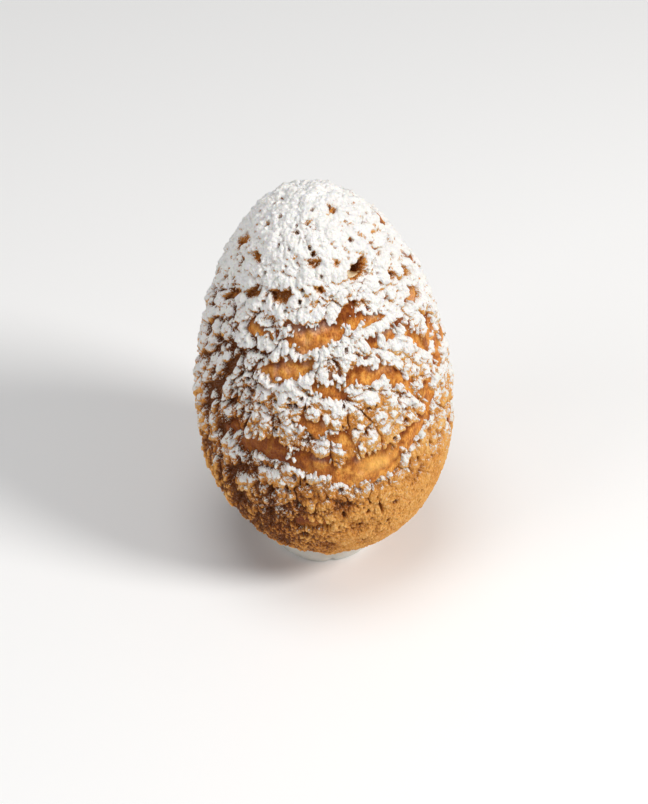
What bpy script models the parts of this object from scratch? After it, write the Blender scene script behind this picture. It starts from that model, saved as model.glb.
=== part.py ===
"""Cream puff: a tall, egg-shaped choux bun under a cracked craquelin crust, stood on a dab of cream.

Metres, +Z up, the front facing -Y.  The origin is at the middle of the cream's flat underside.
The bun is one closed solid, because its crust is baked on; the cream it stands on is the second.
"""
import math
import random

import bmesh
import bpy
from mathutils import Vector, noise

MM = 0.001

# ---- driving dimensions -------------------------------------------------------------------------
BUN_HEIGHT = 107.0 * MM         # the bun alone, from its underside to its crown
BUN_WIDTH = 65.0 * MM           # at its widest, a little below half height
BUN_LIFT = 2.0 * MM             # cream under the bun's lowest point
EGG_TERMS = (0.121, 0.040, -0.021)      # how far the outline departs from a plain oval
LEAN_LOW = 1.2 * MM             # the bun's middle line, in X, just above its seat on the cream ...
LEAN_AT_CROWN = -1.85 * MM      # ... and at its crown: it leans a little to the left
SEAT_HEIGHT = 12.0 * MM         # below this the middle line comes back over the cream's middle
CRUST_THICKNESS = 1.8 * MM      # craquelin standing proud of the choux skin
CRUST_EDGE = 1.1 * MM           # width of a crust plate's rounded edge
NODULE_SIZE = 5.0 * MM          # the coarsest lumps of the crust
NODULE_RELIEF = 0.7 * MM
BARE_BASE = 17.0 * MM           # the smooth underside, measured along the skin from the lowest point
CREAM_RADIUS = 12.6 * MM
CREAM_BULGE = 0.35 * MM         # how far the cream's side swells past that radius
CREAM_FOOT = 1.0 * MM           # rounding of the cream's lower edge
CREAM_LIP = 0.6 * MM            # and of its upper one
CREAM_CLEARANCE = 0.3 * MM      # between the cream and the bun
CREASE_AZIMUTH = 9.0            # the fold in the cream's side, in degrees to the right of the front
CREASE_DEPTH = 0.7 * MM
CREASE_HALF_WIDTH = 4.0         # degrees

CUBE_CUTS = 26                  # rows of faces across each side of the cube that becomes the bun
CREAM_SEGMENTS = 64
TABLE_STEPS = 720

# Gaps between the crust's plates: azimuth (degrees, 0 at the front, + to the right), height (mm),
# half length (mm), half width (mm), slope (degrees, + rising to the right).
FRONT_GAPS = (
    (-2, 84.2, 7.4, 3.3, 6), (25, 86.4, 6.0, 1.7, -6), (32, 80.0, 2.8, 1.7, -10), (42, 81.5, 1.6, 2.2, 0),
    (-18, 75.2, 6.8, 2.4, 18), (-35, 82.4, 3.8, 1.5, 8), (22, 73.0, 7.6, 2.6, 0), (3, 71.0, 3.6, 2.3, -8),
    (44, 68.0, 9.2, 1.6, -52), (56, 76.5, 5.0, 1.4, -60), (1, 61.2, 6.0, 2.5, -6), (13, 57.2, 5.0, 1.7, -50),
    (-28, 52.6, 9.2, 3.3, 6), (-5, 50.2, 5.4, 2.9, -14), (19, 47.6, 9.6, 4.3, 5), (43, 52.8, 7.8, 2.7, 22),
    (57, 59.5, 5.6, 2.2, 60), (75, 67.0, 6.2, 2.3, 80), (72, 73.6, 4.2, 2.5, 10), (69, 84.5, 3.2, 2.1, 8),
    (-6, 29.8, 4.0, 1.9, 0), (-49, 71.0, 9.0, 2.0, 66), (-84, 95.5, 4.4, 3.0, 35), (-46, 91.0, 3.4, 1.4, 12),
    (-66, 86.5, 4.8, 1.4, 35), (-25, 91.8, 3.0, 1.4, 35),
)
# The blister that broke through near the crown, in the same terms, and its depth.
BLISTER = (33, 97.2, 3.3, 1.7, 22)
BLISTER_DEPTH = 4.0 * MM
# Broad unevenness of the baked shape: azimuth, height (mm), reach (mm), rise (mm).
SWELLS = ((205, 103.0, 8.0, 0.8), (132, 98.0, 14.0, -1.2))
# The sides and the back crack in the same way, in staggered rows.
REAR_GAPS = {"rows": 8, "lowest": 24.0, "row_step": 10.5, "first": 92.0, "step": 34.0, "per_row": 5,
             "half_length": (3.2, 8.4), "half_width": (1.2, 2.8), "slope": (-28, 28), "seed": 11}

BUN_COLOUR = (0.62, 0.36, 0.14, 1.0)
CREAM_COLOUR = (0.83, 0.80, 0.74, 1.0)


# ---- the bun's plain form -----------------------------------------------------------------------
def outline_radius(turn):
    """Radius over half width at an angle of 0 (underside) to pi (crown), before scaling."""
    first, second, third = EGG_TERMS
    return math.sin(turn) * (1 + first * math.cos(turn) + second * math.cos(2 * turn) + third * math.cos(3 * turn))


TURNS = [math.pi * i / TABLE_STEPS for i in range(TABLE_STEPS + 1)]
RADIUS_SCALE = BUN_WIDTH / 2 / max(outline_radius(t) for t in TURNS)
RADII = [RADIUS_SCALE * outline_radius(t) for t in TURNS]
HEIGHTS = [BUN_HEIGHT / 2 * (1 - math.cos(t)) for t in TURNS]
SKIN_LENGTHS = [0.0]
for _i in range(TABLE_STEPS):
    _step = math.hypot(RADII[_i + 1] - RADII[_i], HEIGHTS[_i + 1] - HEIGHTS[_i])
    SKIN_LENGTHS.append(SKIN_LENGTHS[-1] + _step)


def table_at(value, keys, values):
    """Straight-line reading of one table column against another that rises all the way."""
    low, high = 0, len(keys) - 1
    while high - low > 1:
        middle = (low + high) // 2
        if keys[middle] <= value:
            low = middle
        else:
            high = middle
    share = (value - keys[low]) / (keys[high] - keys[low])
    return values[low] + min(max(share, 0.0), 1.0) * (values[high] - values[low])


def smooth_step(share):
    share = min(max(share, 0.0), 1.0)
    return share * share * (3 - 2 * share)


def lean(height):
    """How far the bun's middle line lies to the right at a height."""
    return (LEAN_LOW + (LEAN_AT_CROWN - LEAN_LOW) * height / BUN_HEIGHT) * smooth_step(height / SEAT_HEIGHT)


def skin_point(azimuth, along, rise=0.0):
    """A point on the bun: azimuth in radians, distance along the skin from the lowest point, and
    how far out from the plain form it lies."""
    radius = table_at(along, SKIN_LENGTHS, RADII)
    height = table_at(along, SKIN_LENGTHS, HEIGHTS)
    near = max(along - 0.5 * MM, 0.0)
    far = min(along + 0.5 * MM, SKIN_LENGTHS[-1])
    tilt_out = table_at(far, SKIN_LENGTHS, HEIGHTS) - table_at(near, SKIN_LENGTHS, HEIGHTS)
    tilt_up = table_at(near, SKIN_LENGTHS, RADII) - table_at(far, SKIN_LENGTHS, RADII)
    slant = math.hypot(tilt_out, tilt_up)
    radius += rise * tilt_out / slant
    return Vector((radius * math.sin(azimuth) + lean(height), -radius * math.cos(azimuth),
                   height + rise * tilt_up / slant + BUN_LIFT))


# ---- the crust's relief -------------------------------------------------------------------------
def all_gaps():
    """The gaps at the front, then rows of random ones round the sides and the back."""
    dice = random.Random(REAR_GAPS["seed"])
    gaps = list(FRONT_GAPS)
    for row in range(REAR_GAPS["rows"]):
        height = REAR_GAPS["lowest"] + row * REAR_GAPS["row_step"]
        for place in range(REAR_GAPS["per_row"]):
            azimuth = REAR_GAPS["first"] + (place + 0.5 * (row % 2)) * REAR_GAPS["step"] + dice.uniform(-7, 7)
            narrowing = min(1.0, table_at(height * MM, HEIGHTS, RADII) / (BUN_WIDTH / 2))
            gaps.append((azimuth, height + dice.uniform(-3, 3), dice.uniform(*REAR_GAPS["half_length"]) * narrowing,
                         dice.uniform(*REAR_GAPS["half_width"]), dice.uniform(*REAR_GAPS["slope"])))
    return gaps


def place_on_skin(feature, azimuth, along):
    """Distances of a point from a feature's middle, along its length and across it, in mm."""
    middle = table_at(feature[1] * MM, HEIGHTS, SKIN_LENGTHS)
    turned = (math.degrees(azimuth) - feature[0] + 180) % 360 - 180
    sideways = math.radians(turned) * table_at(along, SKIN_LENGTHS, RADII) / MM
    upwards = (along - middle) / MM
    slope = math.radians(feature[4])
    return (sideways * math.cos(slope) + upwards * math.sin(slope),
            upwards * math.cos(slope) - sideways * math.sin(slope))


def opening(feature, azimuth, along):
    """1 well inside a gap, 0 on the crust round it, with a rounded edge between."""
    lengthways, across = place_on_skin(feature, azimuth, along)
    half_length, half_width = feature[2], feature[3]
    reach = math.hypot(lengthways / half_length, across / half_width)
    return smooth_step((1 - reach) * half_width * MM / CRUST_EDGE + 0.5)


def swelling(azimuth, along):
    """Broad rises and flats of the baked shape, in metres."""
    total = 0.0
    for side, height, reach, rise in SWELLS:
        sideways, upwards = place_on_skin((side, height, 1, 1, 0), azimuth, along)
        total += rise * MM * math.exp(-(sideways ** 2 + upwards ** 2) / (2 * reach ** 2))
    return total


def lumps(point):
    """Height of the crust's lumps at a point of the plain form: 0 on their tops, less between."""
    wander = noise.noise_vector(point / (3 * NODULE_SIZE)) * 0.35
    nearest = noise.voronoi(point / NODULE_SIZE + wander)[0][0]
    return -NODULE_RELIEF * min(1.0, 1.6 * nearest * nearest)


def crust_rise(azimuth, along, gaps):
    """How far the surface lies out from the plain form, in metres."""
    plain = skin_point(azimuth, along)
    crusted = min(max((along - BARE_BASE) / CRUST_THICKNESS, 0.0), 1.0)
    open_share = max(opening(gap, azimuth, along) for gap in gaps)
    relief = (1 - open_share) * lumps(plain) - open_share * CRUST_THICKNESS
    relief -= opening(BLISTER, azimuth, along) * BLISTER_DEPTH
    return swelling(azimuth, along) + crusted * relief


# ---- the solids ---------------------------------------------------------------------------------
def new_object(name, mesh_builder, colour, roughness):
    mesh = bpy.data.meshes.new(name)
    solid = bmesh.new()
    mesh_builder(solid)
    bmesh.ops.recalc_face_normals(solid, faces=solid.faces)
    bmesh.ops.triangulate(solid, faces=solid.faces)
    solid.to_mesh(mesh)
    solid.free()
    mesh.shade_smooth()
    item = bpy.data.objects.new(name, mesh)
    material = bpy.data.materials.new(name)
    material.use_nodes = True
    shader = material.node_tree.nodes["Principled BSDF"]
    shader.inputs["Base Color"].default_value = colour
    shader.inputs["Roughness"].default_value = roughness
    shader.inputs["Metallic"].default_value = 0.0
    mesh.materials.append(material)
    return item


def build_bun(solid):
    """A cube cut into even rows, blown up to the egg and given the crust's relief."""
    bmesh.ops.create_cube(solid, size=2.0)
    bmesh.ops.subdivide_edges(solid, edges=solid.edges, cuts=CUBE_CUTS, use_grid_fill=True)
    gaps = all_gaps()
    for vertex in solid.verts:
        evened = Vector([math.tan(c * math.pi / 4) for c in vertex.co]).normalized()
        azimuth = math.atan2(evened.x, -evened.y)
        along = SKIN_LENGTHS[-1] * math.acos(max(-1.0, min(1.0, -evened.z))) / math.pi
        vertex.co = skin_point(azimuth, along, crust_rise(azimuth, along, gaps))


def under_bun(radius):
    """Height of the cream's top at a radius: it follows the bun's underside."""
    return table_at(radius, RADII[:TABLE_STEPS // 4], HEIGHTS) + BUN_LIFT - CREAM_CLEARANCE


def cream_outline():
    """The cream's side and top, as (radius, height) pairs from the flat underside up and inwards."""
    rim = CREAM_RADIUS - CREAM_LIP
    top = under_bun(rim)
    points = []
    for i in range(3):
        turn = math.pi / 2 * i / 2
        points.append((CREAM_RADIUS - CREAM_FOOT * (1 - math.sin(turn)), CREAM_FOOT * (1 - math.cos(turn))))
    for share in (1 / 3, 2 / 3, 1):
        height = CREAM_FOOT + (top - CREAM_LIP - CREAM_FOOT) * share
        points.append((CREAM_RADIUS + CREAM_BULGE * math.sin(math.pi * share), height))
    points.append((rim, top))
    points.append((rim / 2, under_bun(rim / 2)))
    return points


def build_cream(solid):
    """A round dab: its outline spun round, then creased at one side."""
    outline = [(0.0, 0.0)] + cream_outline() + [(0.0, BUN_LIFT - CREAM_CLEARANCE)]
    corners = [solid.verts.new((0, -radius, height)) for radius, height in outline]
    for lower, upper in zip(corners, corners[1:]):
        solid.edges.new((lower, upper))
    bmesh.ops.spin(solid, geom=solid.verts[:] + solid.edges[:], cent=(0, 0, 0), axis=(0, 0, 1),
                   angle=2 * math.pi, steps=CREAM_SEGMENTS, use_merge=True)
    bmesh.ops.remove_doubles(solid, verts=solid.verts, dist=0.01 * MM)
    for vertex in solid.verts:
        radius = math.hypot(vertex.co.x, vertex.co.y)
        if radius > CREAM_RADIUS - CREAM_FOOT:
            azimuth = math.degrees(math.atan2(vertex.co.x, -vertex.co.y))
            off_crease = (azimuth - CREASE_AZIMUTH + 180) % 360 - 180
            pinch = 1 - CREASE_DEPTH / radius * math.exp(-(off_crease / CREASE_HALF_WIDTH) ** 2)
            vertex.co.x *= pinch
            vertex.co.y *= pinch


def clear_scene():
    for item in list(bpy.data.objects):
        bpy.data.objects.remove(item, do_unlink=True)


clear_scene()
parts = bpy.data.collections.new("cream_puff")
bpy.context.scene.collection.children.link(parts)
parts.objects.link(new_object("bun", build_bun, BUN_COLOUR, 0.65))
parts.objects.link(new_object("cream", build_cream, CREAM_COLOUR, 0.4))
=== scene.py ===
"""The looks of a cream puff: an upright, egg-shaped choux bun under a cracked, sugar-dusted
craquelin crust, standing on a dab of cream.  One section for each piece, in the order that
the real one is put together.
"""
import math
import random

import bmesh
import bpy
import numpy as np
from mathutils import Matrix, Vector


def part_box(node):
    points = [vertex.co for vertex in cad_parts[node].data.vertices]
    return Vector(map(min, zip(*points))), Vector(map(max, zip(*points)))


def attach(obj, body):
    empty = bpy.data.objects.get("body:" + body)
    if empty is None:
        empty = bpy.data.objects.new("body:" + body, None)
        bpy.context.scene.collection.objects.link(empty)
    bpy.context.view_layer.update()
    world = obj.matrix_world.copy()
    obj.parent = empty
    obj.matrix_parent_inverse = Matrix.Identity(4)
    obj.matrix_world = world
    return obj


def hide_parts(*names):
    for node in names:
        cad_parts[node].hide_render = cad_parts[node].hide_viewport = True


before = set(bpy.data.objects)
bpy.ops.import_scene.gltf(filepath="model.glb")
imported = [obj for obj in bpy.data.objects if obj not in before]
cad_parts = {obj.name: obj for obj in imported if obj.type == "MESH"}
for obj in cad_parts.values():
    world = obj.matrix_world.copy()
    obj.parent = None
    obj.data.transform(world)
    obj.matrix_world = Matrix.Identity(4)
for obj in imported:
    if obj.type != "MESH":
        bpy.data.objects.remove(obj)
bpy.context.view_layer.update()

MM = 0.001

# ---- The choux bun --------------------------------------------------------------------------------
# A hollow egg of choux paste, piped tall and baked until it sets.  Its smooth, finely streaked skin
# shows only where the crust on it has cracked apart, and one blister near the crown has burst open.
bun_low, bun_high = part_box("bun")
BUN_HEIGHT = 107.0 * MM
BUN_WIDTH = 65.0 * MM
BUN_LIFT = 2.0 * MM
EGG_TERMS = (0.121, 0.040, -0.021)
LEAN_LOW = 1.2 * MM
LEAN_AT_CROWN = -1.85 * MM
SEAT_HEIGHT = 12.0 * MM
CRUST_THICKNESS = 1.8           # mm, craquelin standing proud of the choux skin
BARE_BASE = 15.5 * MM           # no crust below this, measured along the skin from the lowest point
CHOUX_ROWS = 125                # rows of faces across each side of the cube that becomes the bun

# Gaps between the crust's plates: azimuth (degrees, 0 at the front, + to the right), height (mm),
# half length (mm), half width (mm), slope (degrees, + rising to the right).
FRONT_GAPS = (
    (-2, 84.2, 7.4, 3.3, 6), (25, 86.4, 6.0, 1.7, -6), (32, 80.6, 2.0, 0.9, -10), (42, 81.5, 1.3, 1.7, 0),
    (-18, 75.2, 6.8, 2.4, 18), (-35, 82.4, 3.8, 1.5, 8), (22, 73.6, 7.2, 1.8, 0), (3, 71.0, 3.6, 2.3, -8),
    (44, 68.0, 9.2, 1.6, -52), (56, 76.5, 5.0, 1.4, -60), (-2, 61.4, 4.8, 2.2, -12), (9, 57.4, 4.0, 1.6, -48),
    (-28, 52.6, 9.2, 3.3, 6), (-5, 50.2, 5.4, 2.9, -14), (19, 47.6, 9.6, 4.3, 5), (43, 52.8, 7.8, 2.7, 22),
    (57, 59.5, 5.6, 2.2, 60), (75, 67.0, 6.2, 2.3, 80), (72, 73.6, 4.2, 2.5, 10), (69, 84.5, 3.2, 2.1, 8),
    (-6, 29.8, 4.0, 1.9, 0),
)
BLISTER = (33, 97.0, 2.8, 1.45, 24)
SWELLS = ((205, 103.0, 8.0, 0.8), (132, 98.0, 14.0, -1.2), (-14, 98.5, 1.0, -0.7), (-13, 102.0, 1.0, -0.8))
REAR_GAPS = {"rows": 8, "lowest": 24.0, "row_step": 10.5, "first": 92.0, "step": 34.0, "per_row": 5,
             "half_length": (3.2, 8.4), "half_width": (1.2, 2.8), "slope": (-28, 28), "seed": 11}

turns = np.linspace(0, math.pi, 721)
plain_radius = np.sin(turns) * (1 + EGG_TERMS[0] * np.cos(turns) + EGG_TERMS[1] * np.cos(2 * turns)
                                + EGG_TERMS[2] * np.cos(3 * turns))
radii = plain_radius * BUN_WIDTH / 2 / plain_radius.max()
heights = BUN_HEIGHT / 2 * (1 - np.cos(turns))
skin_lengths = np.concatenate([[0], np.cumsum(np.hypot(np.diff(radii), np.diff(heights)))])
out_slopes = np.gradient(heights, skin_lengths)
up_slopes = -np.gradient(radii, skin_lengths)


def smooth_step(low, high, value):
    share = np.clip((value - low) / (high - low), 0, 1)
    return share * share * (3 - 2 * share)


def skin_points(azimuth, along, rise):
    """Points on the bun: azimuth in radians, metres along the skin from the lowest point, and mm out
    from the plain form."""
    radius = np.interp(along, skin_lengths, radii) + rise * MM * np.interp(along, skin_lengths, out_slopes)
    height = np.interp(along, skin_lengths, heights)
    lean = (LEAN_LOW + (LEAN_AT_CROWN - LEAN_LOW) * height / BUN_HEIGHT) * smooth_step(0, SEAT_HEIGHT, height)
    up = height + rise * MM * np.interp(along, skin_lengths, up_slopes) + BUN_LIFT
    return np.stack([radius * np.sin(azimuth) + lean, -radius * np.cos(azimuth), up], -1)


def all_gaps():
    """The gaps at the front, then rows of random ones round the sides and the back."""
    dice = random.Random(REAR_GAPS["seed"])
    gaps = list(FRONT_GAPS)
    for row in range(REAR_GAPS["rows"]):
        height = REAR_GAPS["lowest"] + row * REAR_GAPS["row_step"]
        for place in range(REAR_GAPS["per_row"]):
            azimuth = REAR_GAPS["first"] + (place + 0.5 * (row % 2)) * REAR_GAPS["step"] + dice.uniform(-7, 7)
            narrowing = min(1.0, np.interp(height * MM, heights, radii) / (BUN_WIDTH / 2))
            gaps.append((azimuth, height + dice.uniform(-3, 3), dice.uniform(*REAR_GAPS["half_length"]) * narrowing,
                         dice.uniform(*REAR_GAPS["half_width"]), dice.uniform(*REAR_GAPS["slope"])))
    return gaps


def place_on_skin(feature, azimuth, along, waver=(0, 0)):
    """Distances from a feature's middle, along its length and across it, in mm; waver moves each
    point sideways and up before it is measured, which makes the feature's rim wander."""
    middle = np.interp(feature[1] * MM, heights, skin_lengths)
    turned = (np.degrees(azimuth) - feature[0] + 180) % 360 - 180
    sideways = np.radians(turned) * np.interp(along, skin_lengths, radii) / MM + waver[0]
    upwards = (along - middle) / MM + waver[1]
    slope = math.radians(feature[4])
    return (sideways * math.cos(slope) + upwards * math.sin(slope),
            upwards * math.cos(slope) - sideways * math.sin(slope))


def depth_inside(feature, azimuth, along, waver=(0, 0)):
    """Distance inside a feature's rim in mm, negative outside it."""
    lengthways, across = place_on_skin(feature, azimuth, along, waver)
    return (1 - np.sqrt((lengthways / feature[2]) ** 2 + (across / feature[3]) ** 2)) * feature[3]


def deepest(features, azimuth, along, waver=(0, 0)):
    """Distance inside the rim of whichever feature reaches furthest over each point."""
    inside = np.full(len(along), -9.0)
    for feature in features:
        inside = np.maximum(inside, depth_inside(feature, azimuth, along, waver))
    return inside


def swelling(azimuth, along):
    total = np.zeros_like(along)
    for side, height, reach, rise in SWELLS:
        sideways, upwards = place_on_skin((side, height, 1, 1, 0), azimuth, along)
        total += rise * np.exp(-(sideways ** 2 + upwards ** 2) / (2 * reach ** 2))
    return total


def scatter(cells, salt):
    """An even random number from 0 to 1 for each whole-numbered cell."""
    cells = cells.astype(np.uint64)
    mixed = (cells[:, 0] * np.uint64(73856093)) ^ (cells[:, 1] * np.uint64(19349663))
    mixed = mixed ^ (cells[:, 2] * np.uint64(83492791)) ^ np.uint64(salt * 2654435761 % 2 ** 32)
    mixed = (mixed ^ (mixed >> np.uint64(33))) * np.uint64(0xff51afd7ed558ccd)
    mixed = (mixed ^ (mixed >> np.uint64(29))) * np.uint64(0xc4ceb9fe1a85ec53)
    return ((mixed ^ (mixed >> np.uint64(32))) & np.uint64(0xffffff)).astype(float) / 0xffffff


def soft_noise(points, size, salt):
    """Smooth random values, about -1 to 1, that change over a distance of one size (mm)."""
    spots = points / size + 1000
    base = np.floor(spots)
    share = spots - base
    share = share * share * (3 - 2 * share)
    total = np.zeros(len(points))
    for corner in np.ndindex(2, 2, 2):
        weight = np.prod(np.where(corner, share, 1 - share), axis=1)
        total += weight * scatter(base + corner, salt)
    return 2.4 * total - 1.2


def cells(points, size, salt):
    """Random cells of one size (mm): distance to the nearest centre, to the next, how far the point
    is above its own centre, and a number from 0 to 1 for the cell."""
    spots = points / size + 1000
    base = np.floor(spots)
    nearest = np.full(len(points), 9.0)
    second = nearest.copy()
    name = np.zeros(len(points))
    above = np.zeros(len(points))
    for offset in np.ndindex(3, 3, 3):
        cell = base + np.array(offset) - 1
        centre = cell + np.stack([scatter(cell, salt + axis) for axis in range(3)], -1)
        away = np.sqrt(((spots - centre) ** 2).sum(1))
        closer = away < nearest
        second = np.where(closer, nearest, np.minimum(second, away))
        name = np.where(closer, scatter(cell, salt + 7), name)
        above = np.where(closer, spots[:, 2] - centre[:, 2], above)
        nearest = np.where(closer, away, nearest)
    return nearest * size, second * size, above * size, name


def lumps(points, size, salt, crispness):
    """Rounded lumps of one size (mm) packed side by side: their height, 1 on top and 0 in the creases
    between them, how far the point is above its lump's middle, and a number from 0 to 1 for the lump."""
    spots = points / size + 1000
    base = np.floor(spots)
    total, above, name = np.full(len(points), 1e-9), np.zeros(len(points)), np.zeros(len(points))
    for offset in np.ndindex(3, 3, 3):
        cell = base + np.array(offset) - 1
        away = spots - cell - np.stack([scatter(cell, salt + axis) for axis in range(3)], -1)
        weight = np.exp(-crispness * (away ** 2).sum(1))
        total += weight
        above += weight * away[:, 2]
        name += weight * scatter(cell, salt + 7)
    sunk = np.clip(-np.log(total) / crispness / 0.42, 0, 1)
    return 1 - sunk ** 1.7, above / total, name / total


def wandering(points):
    """How far the rims of the gaps and hollows wander sideways and up, in mm."""
    return (1.0 * soft_noise(points, 4.2, 44) + 0.35 * soft_noise(points, 1.6, 47),
            0.9 * soft_noise(points, 4.2, 45) + 0.55 * soft_noise(points * np.array([1, 1, 0.6]), 1.7, 46))


def egg_mesh(name, rows):
    """A cube cut into even rows and blown up to a ball: gives its mesh with each point's azimuth
    and distance along the skin."""
    cage = bmesh.new()
    bmesh.ops.create_cube(cage, size=2.0)
    bmesh.ops.subdivide_edges(cage, edges=cage.edges, cuts=rows - 1, use_grid_fill=True)
    mesh = bpy.data.meshes.new(name)
    cage.to_mesh(mesh)
    cage.free()
    corners = np.empty(len(mesh.vertices) * 3)
    mesh.vertices.foreach_get("co", corners)
    evened = np.tan(corners.reshape(-1, 3) * math.pi / 4)
    evened /= np.linalg.norm(evened, axis=1)[:, None]
    azimuth = np.arctan2(evened[:, 0], -evened[:, 1])
    along = skin_lengths[-1] * np.arccos(np.clip(-evened[:, 2], -1, 1)) / math.pi
    return mesh, azimuth, along


def keep_map(mesh, middle_azimuth, spread):
    """Lay the mesh out flat for baking: its lower and upper halves side by side, azimuth across and
    distance along the skin upwards; the flat faces that close a cut are parked between the two."""
    points = np.empty(len(mesh.vertices) * 3)
    mesh.vertices.foreach_get("co", points)
    points = points.reshape(-1, 3)
    corners = np.empty(len(mesh.loops), dtype=int)
    mesh.loops.foreach_get("vertex_index", corners)
    sizes = np.empty(len(mesh.polygons), dtype=int)
    mesh.polygons.foreach_get("loop_total", sizes)
    middle = BUN_HEIGHT / 2
    outline_turns = np.arctan2(radii, middle - heights)
    turned = np.arctan2(np.hypot(points[:, 0], points[:, 1]), middle + BUN_LIFT - points[:, 2])
    along_share = np.interp(turned, outline_turns, skin_lengths / skin_lengths[-1])
    azimuth_share = ((np.degrees(np.arctan2(points[:, 0], -points[:, 1])) - middle_azimuth + 180) % 360 - 180) / spread
    owner = np.repeat(np.arange(len(sizes)), sizes)
    starts = np.concatenate([[0], np.cumsum(sizes)[:-1]])
    first = azimuth_share[corners[starts]][owner]
    across = azimuth_share[corners]
    across = np.where(across - first > 0.5 * 360 / spread, across - 360 / spread, across)
    across = np.where(across - first < -0.5 * 360 / spread, across + 360 / spread, across) + 0.5
    up = along_share[corners]
    upper = (np.add.reduceat(up, starts) / sizes > 0.5)[owner]
    across = 0.01 + 0.46 * np.clip(across, -0.01, 1.01) + 0.52 * upper
    up = 0.01 + 0.98 * (2 * up - upper)
    parked = (sizes > 6)[owner]
    flat = np.stack([np.where(parked, 0.5, across), np.where(parked, 0.5, up)], -1)
    mesh.uv_layers.new(name="OFBake").data.foreach_set("uv", flat.ravel().astype(np.float32))


def set_points(mesh, points):
    mesh.vertices.foreach_set("co", points.ravel())
    mesh.update()


def point_normals(mesh):
    normals = np.empty(len(mesh.vertices) * 3)
    mesh.vertex_normals.foreach_get("vector", normals)
    return normals.reshape(-1, 3)


def keep_value(mesh, name, values):
    """Store a value at each point of a mesh, for its material to read."""
    layer = mesh.attributes.new(name, "FLOAT", "POINT")
    layer.data.foreach_set("value", values.astype(np.float32))


def add_piece(mesh, material, slot, *nodes):
    """Put a finished mesh in the scene as a piece that rides with the part."""
    piece = bpy.data.objects.new(mesh.name, mesh)
    bpy.context.scene.collection.objects.link(piece)
    mesh.materials.append(material)
    mesh.shade_smooth()
    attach(piece, "root")
    if nodes:
        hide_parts(*nodes)
    return piece


def node(tree, kind, inputs=None, **settings):
    """Add a shader node; an input's value is either a number or colour, or a socket to link."""
    added = tree.nodes.new("ShaderNode" + kind)
    for name, value in settings.items():
        setattr(added, name, value)
    for name, value in (inputs or {}).items():
        if isinstance(value, bpy.types.NodeSocket):
            tree.links.new(value, added.inputs[name])
        else:
            added.inputs[name].default_value = value
    return added


def math_of(tree, operation, *values):
    return node(tree, "Math", dict(enumerate(values)), operation=operation).outputs[0]


def new_group(name, inputs, outputs):
    """A node group with named sockets: inputs are (name, kind, default), outputs (name, kind)."""
    tree = bpy.data.node_groups.new(name, "ShaderNodeTree")
    for label, kind, default in inputs:
        socket = tree.interface.new_socket(label, in_out="INPUT", socket_type="NodeSocket" + kind)
        if default is not None:
            socket.default_value = default
    for label, kind in outputs:
        tree.interface.new_socket(label, in_out="OUTPUT", socket_type="NodeSocket" + kind)
    return tree, tree.nodes.new("NodeGroupInput").outputs, tree.nodes.new("NodeGroupOutput")


def use_group(tree, group, inputs):
    added = tree.nodes.new("ShaderNodeGroup")
    added.node_tree = group
    for name, value in inputs.items():
        if isinstance(value, bpy.types.NodeSocket):
            tree.links.new(value, added.inputs[name])
        else:
            added.inputs[name].default_value = value
    return added.outputs


def new_material(name, settings):
    material = bpy.data.materials.new(name)
    material.use_nodes = True
    tree = material.node_tree
    shader = tree.nodes["Principled BSDF"]
    for label, value in settings.items():
        shader.inputs[label].default_value = value
    return material, tree, shader


def make_streaks():
    """Fine up-and-down streaks and grains, as dough stretched while it rose leaves on a surface."""
    tree, given, result = new_group("Streaks", (("Position", "Vector", None), ("Width", "Float", 0.0005),
                                                ("Stretch", "Float", 2.5), ("Seed", "Float", 0.0)),
                                    (("Height", "Float"), ("Upper side", "Float")))
    size = math_of(tree, "DIVIDE", 1.0, given["Width"])
    tall = math_of(tree, "DIVIDE", size, given["Stretch"])
    scale = node(tree, "CombineXYZ", {0: size, 1: size, 2: tall}).outputs[0]
    spot = node(tree, "VectorMath", {0: given["Position"], 1: scale}, operation="MULTIPLY").outputs[0]
    moved = node(tree, "VectorMath", {0: spot, 1: given["Seed"]}, operation="ADD").outputs[0]
    higher = node(tree, "VectorMath", {0: moved, 1: (0.05, 0.05, 0.32)}, operation="ADD").outputs[0]
    texture = {"Scale": 1.0, "Detail": 3.0, "Roughness": 0.62}
    here = node(tree, "TexNoise", dict(texture, Vector=moved)).outputs["Fac"]
    above = node(tree, "TexNoise", dict(texture, Vector=higher)).outputs["Fac"]
    tree.links.new(here, result.inputs["Height"])
    tree.links.new(math_of(tree, "SUBTRACT", here, above), result.inputs["Upper side"])
    return tree


def make_blotches():
    """Broad, soft unevenness of a baked colour."""
    tree, given, result = new_group("Blotches", (("Position", "Vector", None), ("Size", "Float", 0.006)),
                                    (("Amount", "Float"),))
    size = math_of(tree, "DIVIDE", 1.0, given["Size"])
    texture = node(tree, "TexNoise", {"Vector": given["Position"], "Scale": size, "Detail": 3.0, "Roughness": 0.55})
    ranged = node(tree, "MapRange", {"Value": texture.outputs["Fac"], "From Min": 0.32, "From Max": 0.68},
                  interpolation_type="SMOOTHSTEP")
    tree.links.new(ranged.outputs[0], result.inputs["Amount"])
    return tree


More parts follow.
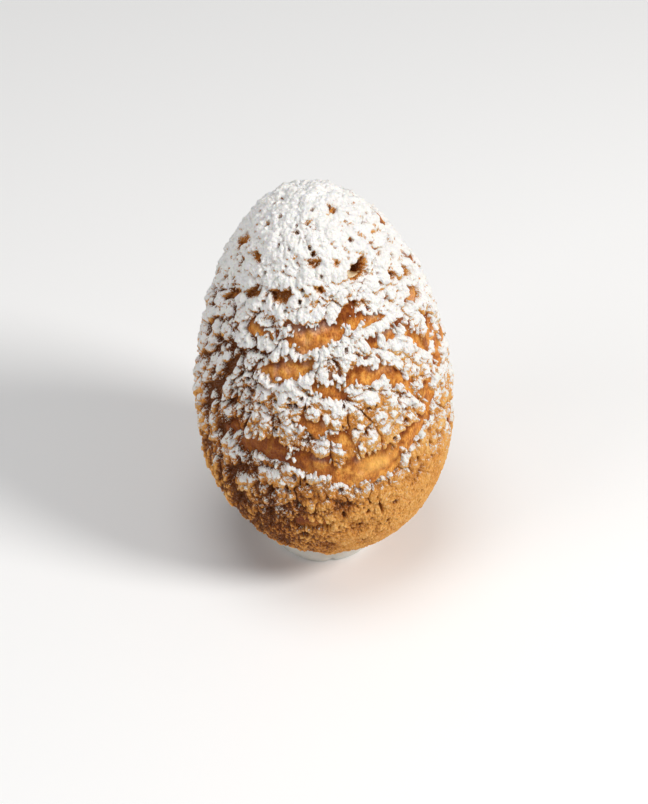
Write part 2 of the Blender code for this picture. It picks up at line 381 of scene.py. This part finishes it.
def make_crumb():
    """Small rounded grains packed side by side, for the crust's finest relief."""
    tree, given, result = new_group("Crumb", (("Position", "Vector", None), ("Size", "Float", 0.0006)),
                                    (("Height", "Float"),))
    size = math_of(tree, "DIVIDE", 1.0, given["Size"])
    bent = node(tree, "TexNoise", {"Vector": given["Position"], "Scale": 900.0, "Detail": 2.0}).outputs["Color"]
    bent = node(tree, "VectorMath", {0: bent, 1: (0.0005, 0.0005, 0.0005)}, operation="MULTIPLY").outputs[0]
    spot = node(tree, "VectorMath", {0: given["Position"], 1: bent}, operation="ADD").outputs[0]
    grains = node(tree, "TexVoronoi", {"Vector": spot, "Scale": size}, feature="SMOOTH_F1")
    grains.inputs["Smoothness"].default_value = 0.35
    tree.links.new(math_of(tree, "SUBTRACT", 1.0, grains.outputs["Distance"]), result.inputs["Height"])
    return tree


def ramp_of(tree, value, *stops):
    """A colour ramp: stops are (position, (red, green, blue))."""
    ramp = node(tree, "ValToRGB", {"Fac": value})
    band = ramp.color_ramp
    while len(band.elements) < len(stops):
        band.elements.new(0.5)
    for element, (position, colour) in zip(band.elements, stops):
        element.position = position
        element.color = (*colour, 1.0)
    return ramp.outputs["Color"]


def blend(tree, kind, share, below, above):
    mixed = node(tree, "Mix", {0: share, 6: below, 7: above}, data_type="RGBA", blend_type=kind)
    return mixed.outputs[2]


streaks = make_streaks()
blotches = make_blotches()
crumbs = make_crumb()


def choux_material():
    """Egg-glossy, stretched skin: orange brown, with a painted highlight below the middle at the front right, painted
    shade under the crust's lips and on the left, a faint bloom of melted sugar, and pale crumb grading to painted shade
    inside the burst blister."""
    material, tree, shader = new_material("choux_skin", {"Roughness": 0.58, "Subsurface Weight": 0.15,
                                                         "Subsurface Scale": 0.0015,
                                                         "Subsurface Radius": (1.0, 0.45, 0.15),
                                                         "Specular IOR Level": 0.20,
                                                         "Coat Weight": 0.04, "Coat Roughness": 0.35})
    spot = node(tree, "TexCoord").outputs["Object"]
    broad = use_group(tree, blotches, {"Position": spot, "Size": 0.0024})["Amount"]
    fine = use_group(tree, streaks, {"Position": spot, "Width": 0.00040, "Stretch": 2.8, "Seed": 4.0})
    tone = ramp_of(tree, broad, (0.0, (0.50, 0.155, 0.022)), (0.5, (0.74, 0.28, 0.045)), (1.0, (0.92, 0.44, 0.09)))
    lined = ramp_of(tree, fine["Height"], (0.36, (0.66, 0.48, 0.31)), (0.54, (1.0, 1.0, 1.0)))
    skin = blend(tree, "MULTIPLY", 0.9, tone, lined)
    # A painted highlight on the skin below the middle at the front right.
    thin_sugar_and_painted_highlight = node(tree, "Attribute", attribute_name="thin_sugar_and_painted_highlight").outputs["Fac"]
    skin = blend(tree, "MIX", thin_sugar_and_painted_highlight, skin, (1.0, 0.52, 0.12, 1.0))
    # Painted shade under the crust's lips and on the left below the middle.
    painted_shade = node(tree, "Attribute", attribute_name="painted_shade").outputs["Fac"]
    skin = blend(tree, "MULTIPLY", painted_shade, skin, (0.39, 0.25, 0.10, 1.0))
    bloom = node(tree, "Attribute", attribute_name="bloom").outputs["Fac"]
    bloom = math_of(tree, "MULTIPLY", bloom, fine["Height"])
    skin = blend(tree, "MIX", bloom, skin, (0.90, 0.82, 0.74, 1.0))
    # Inside the burst blister: pale crumb on one side, grading to painted shade on the other.
    inside = node(tree, "Attribute", attribute_name="burst").outputs["Fac"]
    crumb_and_painted_shade = ramp_of(tree, inside, (0.0, (0.86, 0.74, 0.50)), (0.45, (0.62, 0.40, 0.17)), (1.0, (0.10, 0.035, 0.008)))
    opened = math_of(tree, "GREATER_THAN", inside, 0.001)
    tree.links.new(blend(tree, "MIX", opened, skin, crumb_and_painted_shade), shader.inputs["Base Color"])
    grains = use_group(tree, crumbs, {"Position": spot, "Size": 0.0007})["Height"]
    height = math_of(tree, "MULTIPLY_ADD", grains, 0.6, fine["Height"])
    bump = node(tree, "Bump", {"Strength": 1.0, "Distance": 0.0003, "Height": height})
    tree.links.new(bump.outputs[0], shader.inputs["Normal"])
    return material


choux_mesh, azimuth, along = egg_mesh("choux", CHOUX_ROWS)
plain = skin_points(azimuth, along, 0.0) / MM
waver = wandering(plain)
pocket = smooth_step(-0.2, 0.9, depth_inside(BLISTER, azimuth, along))
gaps = all_gaps()
inside_gap = np.maximum(deepest(gaps, azimuth, along, waver), (BARE_BASE - along) / MM)
bared = smooth_step(-2.4, -0.5, inside_gap)
puffing = 0.26 * soft_noise(plain, 9.0, 31) + 0.22 * soft_noise(plain, 3.0, 32)
puffing = puffing + 0.36 * soft_noise(plain * np.array([1, 1, 0.35]), 1.1, 33) + 0.40 * smooth_step(0, 3.0, inside_gap)
rise = swelling(azimuth, along) - 1.50 + 0.45 * smooth_step(-40, 20, np.degrees(azimuth)) - 1.15 * (1 - bared) + bared * puffing - 4.5 * pocket * (0.30 + 0.70 * smooth_step(-1.8, 1.0, place_on_skin(BLISTER, azimuth, along)[0]))
seated = smooth_step(BARE_BASE + 3 * MM, BARE_BASE - 2 * MM, along)
rise = rise * (1 - seated) + seated * (0.12 * puffing - 0.3)
set_points(choux_mesh, skin_points(azimuth, along, rise))

# Painted shade close under the crust above it and on the left below the middle; sugar melted on it where it faces up.
just_above = deepest(gaps, azimuth, along + 1.5 * MM, waver)
in_shade = smooth_step(6, -14, np.degrees(azimuth)) * smooth_step(60, 53, plain[:, 2])
painted_shade = smooth_step(0.9, -0.9, just_above + 0.5 * soft_noise(plain, 1.2, 38)) + in_shade
keep_value(choux_mesh, "painted_shade", np.clip(painted_shade, 0, 1) * (1 - seated))
# A painted highlight: a patch of skin below the middle at the front right painted paler and more orange.
sideways, upwards = place_on_skin((24, 48.5, 1, 1, 5), azimuth, along)
thin_sugar_and_painted_highlight = 0.95 * np.exp(-(sideways / 4.2) ** 2 - (upwards / 2.3) ** 2)
keep_value(choux_mesh, "thin_sugar_and_painted_highlight", thin_sugar_and_painted_highlight)
facing_up = point_normals(choux_mesh)[:, 2] + 0.35 * soft_noise(plain, 2.2, 36)
keep_value(choux_mesh, "bloom", 0.5 * (1 - thin_sugar_and_painted_highlight) * smooth_step(0.15, 0.75, facing_up) * smooth_step(-0.2, 0.9, soft_noise(plain, 4.0, 37)))
# Across the burst blister, for pale crumb grading into painted shade on its far side.
sideways = place_on_skin(BLISTER, azimuth, along)[0]
keep_value(choux_mesh, "burst", np.where(pocket > 0.02, 0.02 + 0.98 * smooth_step(-1.2, 1.4, sideways), 0.0))
keep_map(choux_mesh, 0, 360)
add_piece(choux_mesh, choux_material(), "craquelin", "bun")


# ---- The craquelin crust --------------------------------------------------------------------------
# A disc of butter, sugar and flour laid on the raw bun.  It spreads and cracks as the choux rises,
# and bakes into thin crumbly plates with rounded, overhanging lips; icing sugar is sifted over it.
CRUST_ROWS = 248                # rows of faces across each side of the cube that becomes the crust
SEAMS = (-45, 45, 135, 225)     # azimuths where one segment of the crust meets the next

# Hollows where the crust sank without parting, in the same terms as the gaps, then how deep (mm).
HOLLOWS = (
    (-49, 71.0, 8.6, 1.3, 66, 1.7), (-83, 95.4, 3.4, 1.8, 78, 2.1), (-45, 90.1, 2.8, 1.3, 28, 1.9),
    (-64, 85.5, 4.0, 1.0, 43, 1.6), (-25, 91.1, 3.0, 1.3, 58, 1.7), (-54, 96.9, 3.2, 1.0, 8, 1.2),
    (-13, 105.4, 1.2, 0.8, -30, 0.7),
    (-46, 106.5, 0.9, 0.6, -40, 0.6), (-93, 104.0, 1.0, 1.1, 0, 0.7), (54, 106.1, 0.8, 0.6, 0, 0.8),
    (-3, 99.2, 2.8, 0.9, 0, 0.6), (13, 98.6, 1.9, 1.2, -30, 0.7), (41, 100.6, 1.0, 1.1, 0, 0.6),
    (59, 97.4, 0.9, 0.8, 0, 0.5), (57, 91.6, 2.6, 1.0, -50, 0.9), (78, 88.4, 2.8, 1.4, -50, 0.9),
    (2, 94.1, 1.1, 1.0, -40, 0.9), (-11, 96.4, 1.3, 0.6, 80, 0.7), (22, 90.2, 2.3, 1.0, 5, 0.9),
    (33, 90.0, 1.2, 0.7, 0, 0.8), (46, 88.6, 1.8, 0.8, 20, 0.6), (76, 83.5, 1.4, 2.2, 0, 1.0),
    (-44, 62.3, 2.6, 1.4, 30, 1.6), (-34, 67.0, 1.7, 0.9, 0, 1.5), (-62, 60.0, 3.4, 0.9, 50, 1.6),
    (-60, 74.0, 2.4, 0.8, 30, 1.4), (-52, 50.0, 2.6, 1.3, 70, 1.4), (8, 33.0, 0.6, 0.9, 0, 1.2),
    (-26, 40.7, 0.8, 0.7, 0, 2.2), (-24, 39.0, 0.7, 0.9, 0, 2.2), (-29, 31.5, 3.0, 0.8, -8, 2.1),
    (-41, 31.7, 1.6, 0.8, 30, 2.0), (-40, 41.0, 0.5, 1.9, 5, 2.1), (-31, 42.0, 0.5, 2.0, -5, 2.1),
    (-19, 30.2, 0.8, 0.8, 0, 2.0), (-11, 25.0, 1.5, 0.8, 0, 2.0), (-17, 42.0, 0.6, 1.4, 10, 2.0),
    (-5, 34.3, 0.8, 0.7, 0, 1.9), (-48, 36.5, 0.6, 1.7, 0, 2.0), (26, 33.5, 0.45, 3.2, 4, 2.0),
)

crust_mesh, azimuth, along = egg_mesh("crust", CRUST_ROWS)
plain = skin_points(azimuth, along, 0.0) / MM
azimuth_degrees = np.degrees(azimuth)
height_mm = plain[:, 2]

# 1 on the left flank, where the plates drag down into shaggy vertical grains; 1 at the lower right,
# where the crust stayed whole and finely pored; and 1 towards the crown, under the thickest sugar.
shaggy = smooth_step(-15, -50, azimuth_degrees) * smooth_step(-150, -110, azimuth_degrees)
drifted = 0.20 * shaggy * smooth_step(82, 92, height_mm)
shaggy = shaggy * (1 - 0.70 * smooth_step(80, 92, height_mm))
porous = smooth_step(14, -12, azimuth_degrees) * smooth_step(-140, -100, azimuth_degrees) * smooth_step(46, 36, height_mm)
whole = smooth_step(8, 36, azimuth_degrees) * smooth_step(165, 130, azimuth_degrees) * smooth_step(46, 36, height_mm)
whole = np.maximum(whole, smooth_step(36, 20, height_mm) * 0.55)
crown = smooth_step(80, 95, height_mm)
plated = smooth_step(-22, -4, azimuth_degrees) * smooth_step(100, 60, azimuth_degrees)
plated = np.maximum(plated, (np.abs(azimuth_degrees) > 90) * smooth_step(-0.2, 0.5, soft_noise(plain, 22.0, 25)))
plated = plated * smooth_step(90, 78, height_mm)
lively = 1 - 0.80 * whole * (1 - 0.8 * porous)
base = smooth_step(45, 37, height_mm)

# The plates, the lumps on them, the knobs on those and the grains on all.
drifting = np.stack([soft_noise(plain, 4.5, 50 + axis) for axis in range(3)], -1) * 1.1
fretting = np.stack([soft_noise(plain, 1.3, 54 + axis) for axis in range(3)], -1) * 0.30
plate_near, plate_next, plate_above, plate_name = cells((plain + drifting + fretting) * np.array([1, 1, 0.72]), 5.6, 60)
furrow = 1 - smooth_step(0.0, 0.50 + 0.45 * shaggy, plate_next - plate_near)
furrow_strength = smooth_step(-0.5, 0.5, soft_noise(plain, 5.0, 71) + 0.5 * shaggy) * lively * (1 - 0.4 * crown)
round_lump, round_above, round_name = lumps((plain + 0.5 * drifting + fretting) * np.array([1, 1, 0.80]), 2.7, 80, 24)
long_lump, long_above, long_name = lumps((plain + 0.6 * drifting + fretting) * np.array([1, 1, 0.58]), 2.6, 180, 20)
long_share = shaggy * smooth_step(40, 52, height_mm)
lump = round_lump + (long_lump - round_lump) * long_share
lump_above = round_above + (long_above - round_above) * long_share
lump_name = round_name + (long_name - round_name) * long_share
knob, knob_above, _ = lumps((plain + 0.3 * drifting + 0.6 * fretting) * np.array([1, 1, 0.60]), 0.90, 88, 13)
grain, grain_above, _ = lumps((plain + 0.3 * fretting) * np.array([1, 1, 0.50]), 0.46, 95, 10)
pit_near, _, _, pit_name = cells((plain + 0.2 * drifting + fretting) * np.array([1, 1, 0.7]), 2.2, 110)
pit = smooth_step(0.80, 0.25, pit_near) * (pit_name > 0.66 - 0.30 * porous)
pore_near, _, _, pore_name = cells((plain + 0.5 * fretting) * np.array([1, 1, 0.75]), 1.25, 114)
pit = np.maximum(pit, 0.75 * base * smooth_step(0.42, 0.14, pore_near) * (pore_name > 0.74 - 0.14 * porous))

# Where the crust has parted, measured from the rim of each gap, which follows whole knobs.
waver = wandering(plain)
ragged = 0.42 * soft_noise(plain * np.array([1.4, 1.4, 0.7]), 0.95, 42) + 0.22 * soft_noise(plain, 0.5, 43)
lobes = 0.95 * (lump - 0.7) + 0.8 * (knob - 0.6) - ragged + 0.45
lobes = lobes * (1 - 0.6 * smooth_step(28, 18, height_mm))
inside_gap = deepest(all_gaps(), azimuth, along, waver) - lobes
blister_gap = depth_inside(BLISTER, azimuth, along) - 0.3 * lobes
inside_gap = np.maximum(inside_gap, blister_gap)
inside_gap = np.maximum(inside_gap, (BARE_BASE - along) / MM - lobes)
hollow = np.zeros(len(along))
for sunk in HOLLOWS:
    inside = depth_inside(sunk, azimuth, along, [0.7 * way for way in waver]) - 0.6 * ragged + 0.5 * (0.6 - lump)
    hollow = np.maximum(hollow, sunk[5] * smooth_step(-0.3, 0.8, inside))
in_creases = 0.20 + 1.1 * (1 - lump) + 0.45 * (1 - knob)
hollow = hollow * (in_creases + (1 - in_creases) * smooth_step(1.3, 1.85, hollow))

relief = (plate_name - 0.6) * 0.40 * lively - (0.20 + 0.08 * plated + 0.10 * shaggy) * (plate_near / 3.2) ** 2 * lively
relief = relief - (0.80 + 0.45 * shaggy) * furrow * furrow_strength
relief = relief + (0.58 + 0.42 * shaggy) * (0.30 + 0.70 * lively) * (1 - 0.72 * base * (1 - 0.5 * porous)) * (lump - 0.88)
relief = relief + 0.5 * (lump_name - 0.5) * lively
relief = relief + (0.32 + 0.10 * shaggy - 0.12 * plated + 0.10 * porous) * (0.55 + 0.45 * lively) * (knob - 0.85)
relief = relief + (0.16 + 0.10 * base) * (grain - 0.7) + 0.08 * soft_noise(plain, 0.9, 121)
relief = relief + 0.9 * np.exp(-((azimuth_degrees + 42) / 10) ** 2 - ((height_mm - 39.5) / 3.6) ** 2)
relief = relief - 1.2 * pit * (0.45 + 0.55 * lively) - hollow
relief = np.clip(relief + 0.1, -2.4, 0.6)

# Each plate's lip rounds over and dives under the choux skin at the gap's rim.
lip = np.clip(1 + inside_gap / 0.7, 0, 1)
dive = 1 - np.sqrt(np.clip(1 - lip ** 2, 0, 1))
burst = smooth_step(0.2, 1.1, blister_gap)
rise = relief * (1 - lip ** 3) - 3.0 * dive - 6.0 * burst
sag = (0.28 + 0.22 * shaggy) * np.clip(rise + 1.9, 0, 2.4) * smooth_step(105, 96, height_mm) * MM
broad = swelling(azimuth, along)
set_points(crust_mesh, skin_points(azimuth, along - sag, rise + broad))

# Sugar sifted from above lies on what faces up and stands proud, most on the rims below the gaps;
# it misses the furrows and the undersides above the gaps.
ledge = smooth_step(34, 42, height_mm) * smooth_step(-2.8, 0.4, deepest(all_gaps(), azimuth, along + 2.0 * MM, waver))
overhang = smooth_step(-2.0, 0.6, deepest(all_gaps(), azimuth, along - 1.6 * MM, waver))
normals = point_normals(crust_mesh)
broad_up = np.interp(along, skin_lengths, up_slopes)
facing = normals[:, 2] - broad_up
proud = np.clip(relief + 0.25, -1.2, 0.5)
lie = (0.90 * broad_up + 1.15 * facing + 0.35 * proud + 0.62 * lump_above + 0.24 * knob_above + 0.20 * grain_above
       + 0.45 * (lump - 0.75) + (0.40 + 0.20 * soft_noise(plain, 3.0, 133)) * ledge * (1 - overhang) - 0.22 * overhang * (1 - ledge)
       + 0.10 * soft_noise(plain, 6.5, 130) + 0.08 * soft_noise(plain, 1.5, 131))
missed = np.interp(height_mm, (24, 33, 39, 45, 51, 58, 66, 74, 81, 90, 107),
                   (0.95, 0.92, 0.66, 0.26, 0.16, -0.02, -0.14, -0.26, -0.42, -0.58, -0.62))
missed = missed + plated * (0.14 * smooth_step(75, 62, height_mm) + 0.14 * smooth_step(62, 52, height_mm)) + (0.11 + 0.10 * smooth_step(46, 40, height_mm)) * shaggy
missed = missed - 0.42 * np.exp(-((azimuth_degrees + 24) / 12) ** 2 - ((height_mm - 35.5) / 2.6) ** 2)
missed = missed - 0.30 * np.exp(-((azimuth_degrees + 38) / 13) ** 2 - ((height_mm - 41.5) / 3.0) ** 2)
missed = missed - drifted
missed = missed + 0.05 * smooth_step(2, 25, azimuth_degrees) * smooth_step(80, 70, height_mm)
sugar = np.clip(0.5 + 1.25 * (lie - missed), 0, 1.2) * smooth_step(-2.0, -1.3, rise)
sugar = sugar * (1 - 0.85 * smooth_step(0.3, 1.2, hollow)) * (1 - 0.6 * pit) * smooth_step(-0.1, -0.7, blister_gap)
keep_value(crust_mesh, "sugar", sugar)
# How dark the crust is painted, from 0 (golden) to 1 (near black): darker in its furrows, hollows and pits, between the
# grains at its base, under the lips over the gaps and on one side inside the burst blister, which is painted shade
# partly with baked browning; darker towards the lower left as painted shade; darker towards the bottom; lighter on the
# sunny right, along the far left edge and a little towards the upper left of the crown.
lower_left_painted_shade = 0.30 * (1 - 0.6 * smooth_step(-42, -56, azimuth_degrees)) * smooth_step(-4, -28, azimuth_degrees) * smooth_step(-150, -110, azimuth_degrees) * smooth_step(43, 34, height_mm)
browning_and_painted_shade = -(relief + 0.55 * hollow) * (1 + 0.60 * shaggy + 0.35 * porous) / 1.6 + 0.30 * lip ** 2 + lower_left_painted_shade + 0.16 * smooth_step(50, 42, height_mm)
browning_and_painted_shade = browning_and_painted_shade + 0.6 * pit + base * (0.45 * (0.66 - grain) + 0.35 * (0.70 - knob)) * (0.2 + 0.8 * porous)
browning_and_painted_shade = browning_and_painted_shade + smooth_step(-0.4, 0.3, blister_gap) * smooth_step(-1.0, 0.6, place_on_skin(BLISTER, azimuth, along)[0])
# Painted light: the crust lighter on the sunny right side.
sunny = smooth_step(2, 25, azimuth_degrees) * smooth_step(115, 85, azimuth_degrees) * smooth_step(42, 48, height_mm)
browning_and_painted_shade = browning_and_painted_shade - 0.24 * sunny
# Painted rim light: the crust lighter along the far left edge.
painted_rim_light = smooth_step(-46, -62, azimuth_degrees) * smooth_step(-150, -120, azimuth_degrees)
browning_and_painted_shade = browning_and_painted_shade - 0.34 * painted_rim_light * smooth_step(20, 34, height_mm)
browning_and_painted_shade = browning_and_painted_shade * (1 - 0.10 * smooth_step(78, 95, height_mm) * smooth_step(2, -20, azimuth_degrees))
keep_value(crust_mesh, "browning_and_painted_shade", np.clip(browning_and_painted_shade, 0, 1))
set_points(crust_mesh, skin_points(azimuth, along - sag, rise + broad + 0.12 * smooth_step(0.4, 0.9, sugar)))


def crust_segment(number):
    """One segment of the crust, cut from the rest along two half planes and closed behind."""
    shell = bmesh.new()
    shell.from_mesh(crust_mesh)
    for seam, side in ((SEAMS[number], -1), (SEAMS[number] + 90, 1)):
        turned = math.radians(seam)
        outwards = (side * math.cos(turned), side * math.sin(turned), 0)
        bmesh.ops.bisect_plane(shell, geom=shell.verts[:] + shell.edges[:] + shell.faces[:], dist=1e-7,
                               plane_co=(0, 0, 0), plane_no=outwards, clear_outer=True)
        rim = [edge for edge in shell.edges if edge.is_boundary]
        bmesh.ops.holes_fill(shell, edges=rim, sides=0)
        for edge in rim:
            edge.smooth = False
    mesh = bpy.data.meshes.new(f"craquelin_{number + 1}")
    shell.to_mesh(mesh)
    shell.free()
    keep_map(mesh, SEAMS[number] + 45, 90)
    return mesh


def crust_material():
    """Baked sugar crust, golden on its lumps and brown in its furrows, that brown partly baked colour and partly
    painted shade, under sifted icing sugar.
    """
    material, tree, shader = new_material("craquelin_crust", {"Roughness": 0.85, "Specular IOR Level": 0.20,
                                                              "Subsurface Weight": 0.22,
                                                              "Subsurface Scale": 0.0006,
                                                              "Subsurface Radius": (1.0, 0.75, 0.5)})
    spot = node(tree, "TexCoord").outputs["Object"]
    browning_and_painted_shade = node(tree, "Attribute", attribute_name="browning_and_painted_shade").outputs["Fac"]
    dusted = node(tree, "Attribute", attribute_name="sugar").outputs["Fac"]
    broad = use_group(tree, blotches, {"Position": spot, "Size": 0.008})["Amount"]
    fine = use_group(tree, streaks, {"Position": spot, "Width": 0.00038, "Stretch": 2.1, "Seed": 0.0})
    # Golden on the proudest lumps down to near black in the furrows: baked colour with painted shade.
    baked_and_painted_shade = ramp_of(tree, browning_and_painted_shade, (0.0, (0.96, 0.555, 0.180)), (0.30, (0.84, 0.395, 0.085)),
                    (0.70, (0.46, 0.165, 0.026)), (1.0, (0.17, 0.048, 0.007)))
    browned = blend(tree, "MULTIPLY", math_of(tree, "MULTIPLY", broad, 0.5), baked_and_painted_shade, (0.86, 0.68, 0.46, 1.0))
    speck = ramp_of(tree, fine["Height"], (0.34, (0.76, 0.62, 0.48)), (0.50, (1.0, 1.0, 1.0)))
    bare = blend(tree, "MULTIPLY", 0.8, browned, speck)
    stipple = math_of(tree, "MULTIPLY", fine["Upper side"], 6.0)
    stipple = math_of(tree, "MINIMUM", math_of(tree, "MAXIMUM", stipple, -0.46), 0.45)
    reach = math_of(tree, "ADD", stipple, dusted)
    covered = node(tree, "MapRange", {"Value": reach, "From Min": 0.38, "From Max": 0.68},
                   interpolation_type="SMOOTHSTEP").outputs[0]
    white = ramp_of(tree, broad, (0.0, (0.885, 0.87, 0.85)), (1.0, (0.93, 0.915, 0.89)))
    # Warmer where the sugar lies thin over the golden crust.
    thin_sugar_and_painted_highlight = ramp_of(tree, dusted, (0.45, (0.94, 0.86, 0.77)), (0.85, (1.0, 1.0, 1.0)))
    white = blend(tree, "MULTIPLY", 1.0, white, thin_sugar_and_painted_highlight)
    tree.links.new(blend(tree, "MIX", covered, bare, white), shader.inputs["Base Color"])
    grains = use_group(tree, crumbs, {"Position": spot, "Size": 0.00066})["Height"]
    height = math_of(tree, "MULTIPLY_ADD", covered, 0.25, fine["Height"])
    height = math_of(tree, "MULTIPLY_ADD", grains, 0.70, height)
    bump = node(tree, "Bump", {"Strength": 1.0, "Distance": 0.00040, "Height": height})
    tree.links.new(bump.outputs[0], shader.inputs["Normal"])
    return material


crust_finish = crust_material()
for number in range(4):
    add_piece(crust_segment(number), crust_finish, "craquelin", "bun")
bpy.data.meshes.remove(crust_mesh)


# ---- The cream ------------------------------------------------------------------------------------
# A thick round of whipped white cream piped on the plate; the bun is set down on it, which presses
# it out to a low smooth disc with a small fold where the piping met.
CREAM_RADIUS = 13.2 * MM
CREAM_BULGE = 0.35 * MM
CREAM_FOOT = 1.0 * MM
CREAM_LIP = 0.6 * MM
CREAM_CLEARANCE = 0.3 * MM
CREASE_AZIMUTH = 9.0
CREASE_DEPTH = 0.7 * MM
CREASE_HALF_WIDTH = 4.0


def under_bun(radius):
    return float(np.interp(radius, radii[:200], heights[:200])) + BUN_LIFT - CREAM_CLEARANCE


def cream_mesh():
    rim = CREAM_RADIUS - CREAM_LIP
    top = under_bun(rim)
    outline = [(0.0, 0.0), (5 * MM, 0.0)]
    for step in range(7):
        turn = math.pi / 2 * step / 6
        outline.append((CREAM_RADIUS - CREAM_FOOT * (1 - math.sin(turn)), CREAM_FOOT * (1 - math.cos(turn))))
    for step in range(1, 8):
        share = step / 8
        outline.append((CREAM_RADIUS + CREAM_BULGE * math.sin(math.pi * share),
                        CREAM_FOOT + (top - CREAM_LIP - CREAM_FOOT) * share))
    for step in range(7):
        turn = math.pi / 2 * step / 6
        outline.append((rim + CREAM_LIP * math.cos(turn), top - CREAM_LIP * (1 - math.sin(turn))))
    outline += [(radius * MM, under_bun(radius * MM)) for radius in (9, 7, 5, 3, 1)]
    outline.append((0.0, BUN_LIFT - CREAM_CLEARANCE))
    dab = bmesh.new()
    corners = [dab.verts.new((0, -radius, height)) for radius, height in outline]
    for lower, upper in zip(corners, corners[1:]):
        dab.edges.new((lower, upper))
    bmesh.ops.spin(dab, geom=dab.verts[:] + dab.edges[:], cent=(0, 0, 0), axis=(0, 0, 1),
                   angle=2 * math.pi, steps=240, use_merge=True)
    bmesh.ops.remove_doubles(dab, verts=dab.verts, dist=0.005 * MM)
    for vertex in dab.verts:
        radius = math.hypot(vertex.co.x, vertex.co.y)
        if radius > CREAM_RADIUS - CREAM_FOOT:
            turned = math.degrees(math.atan2(vertex.co.x, -vertex.co.y))
            off_crease = (turned - CREASE_AZIMUTH + 180) % 360 - 180
            wave = 0.10 * MM * math.sin(math.radians(turned) * 3 + 1) + 0.05 * MM * math.sin(math.radians(turned) * 7)
            pinch = 1 - (CREASE_DEPTH * math.exp(-(off_crease / CREASE_HALF_WIDTH) ** 2) + wave) / radius
            vertex.co.x *= pinch
            vertex.co.y *= pinch
    bmesh.ops.recalc_face_normals(dab, faces=dab.faces)
    mesh = bpy.data.meshes.new("cream_dab")
    dab.to_mesh(mesh)
    dab.free()
    return mesh


def cream_material():
    material, tree, shader = new_material("whipped_cream", {"Roughness": 0.38, "Subsurface Weight": 0.35,
                                                            "Subsurface Scale": 0.002,
                                                            "Subsurface Radius": (1.0, 0.85, 0.65)})
    spot = node(tree, "TexCoord").outputs["Object"]
    broad = use_group(tree, blotches, {"Position": spot, "Size": 0.003})["Amount"]
    tone = ramp_of(tree, broad, (0.0, (0.73, 0.72, 0.66)), (1.0, (0.80, 0.79, 0.74)))
    tree.links.new(tone, shader.inputs["Base Color"])
    bump = node(tree, "Bump", {"Strength": 0.25, "Distance": 0.0002, "Height": broad})
    tree.links.new(bump.outputs[0], shader.inputs["Normal"])
    return material


add_piece(cream_mesh(), cream_material(), "cream", "cream")


# ---- The studio -----------------------------------------------------------------------------------
# A plain pale floor under a large soft lamp at the upper right, with a weaker one at the left.
def add_floor():
    ground = bmesh.new()
    bmesh.ops.create_grid(ground, x_segments=1, y_segments=1, size=3.0)
    mesh = bpy.data.meshes.new("floor")
    ground.to_mesh(mesh)
    ground.free()
    floor = bpy.data.objects.new("floor", mesh)
    bpy.context.scene.collection.objects.link(floor)
    material, tree, shader = new_material("floor", {"Base Color": (0.93, 0.93, 0.93, 1.0), "Roughness": 0.9})
    mesh.materials.append(material)


def add_lamp(name, place, size, power, colour):
    light = bpy.data.lights.new(name, "AREA")
    light.shape = "DISK"
    light.size = size
    light.energy = power
    light.color = colour
    lamp = bpy.data.objects.new(name, light)
    lamp.location = place
    lamp.rotation_euler = (Vector((0, 0, 0.05)) - Vector(place)).to_track_quat("-Z", "Y").to_euler()
    bpy.context.scene.collection.objects.link(lamp)


add_floor()
add_lamp("key", (0.60, -0.28, 0.64), 0.26, 5.6, (1.0, 0.985, 0.96))
add_lamp("fill", (-0.55, -0.34, 0.52), 0.40, 1.15, (1.0, 1.0, 1.0))
add_lamp("overhead", (-0.08, -0.06, 0.95), 0.50, 2.8, (1.0, 1.0, 1.0))

world = bpy.data.worlds.new("studio")
world.use_nodes = True
world.node_tree.nodes["Background"].inputs["Color"].default_value = (1.0, 1.0, 1.0, 1.0)
world.node_tree.nodes["Background"].inputs["Strength"].default_value = 0.20
bpy.context.scene.world = world
bpy.context.scene.view_settings.view_transform = "Standard"

# The camera looks down at the puff from the front.
CAMERA_DISTANCE = 0.600
CAMERA_TILT = math.radians(42.0)
TARGET_HEIGHT = 0.0441
camera_data = bpy.data.cameras.new("camera")
camera_data.sensor_width = 36.0
camera_data.lens = 107.3
camera = bpy.data.objects.new("camera", camera_data)
camera.location = (0.0, -CAMERA_DISTANCE * math.cos(CAMERA_TILT), TARGET_HEIGHT + CAMERA_DISTANCE * math.sin(CAMERA_TILT))
camera.rotation_euler = (math.pi / 2 - CAMERA_TILT, 0, 0)
bpy.context.scene.collection.objects.link(camera)
bpy.context.scene.camera = camera
